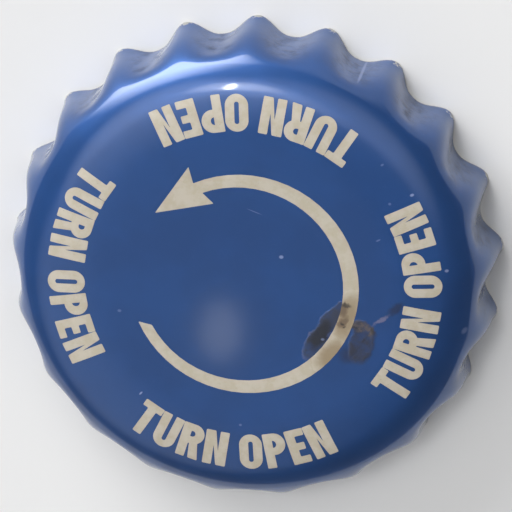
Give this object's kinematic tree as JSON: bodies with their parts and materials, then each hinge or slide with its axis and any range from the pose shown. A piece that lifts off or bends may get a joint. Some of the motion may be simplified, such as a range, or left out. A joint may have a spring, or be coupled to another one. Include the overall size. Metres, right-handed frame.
{
  "type": "crown bottle cap",
  "caption": "Fluted crown cap of lacquered tinplate, crimped to shape, with a moulded sealing liner; it closes a bottle and is turned off by hand.",
  "frame": {"origin": "centre of the rim, on the plane that the cap stands on", "axes": "+Z along the axis, out of the printed panel; +X to the picture's right and +Y to its top"},
  "size_m": [0.0289, 0.0289, 0.006],
  "materials": {
    "blue_lacquer": "gloss lacquer over tinplate",
    "liner_plastic": "moulded, satin",
    "cream_ink": "printed ink under varnish"
  },
  "bodies": {
    "root": {"crown_shell": "blue_lacquer", "sealing_liner": "liner_plastic"}
  },
  "joints": []
}
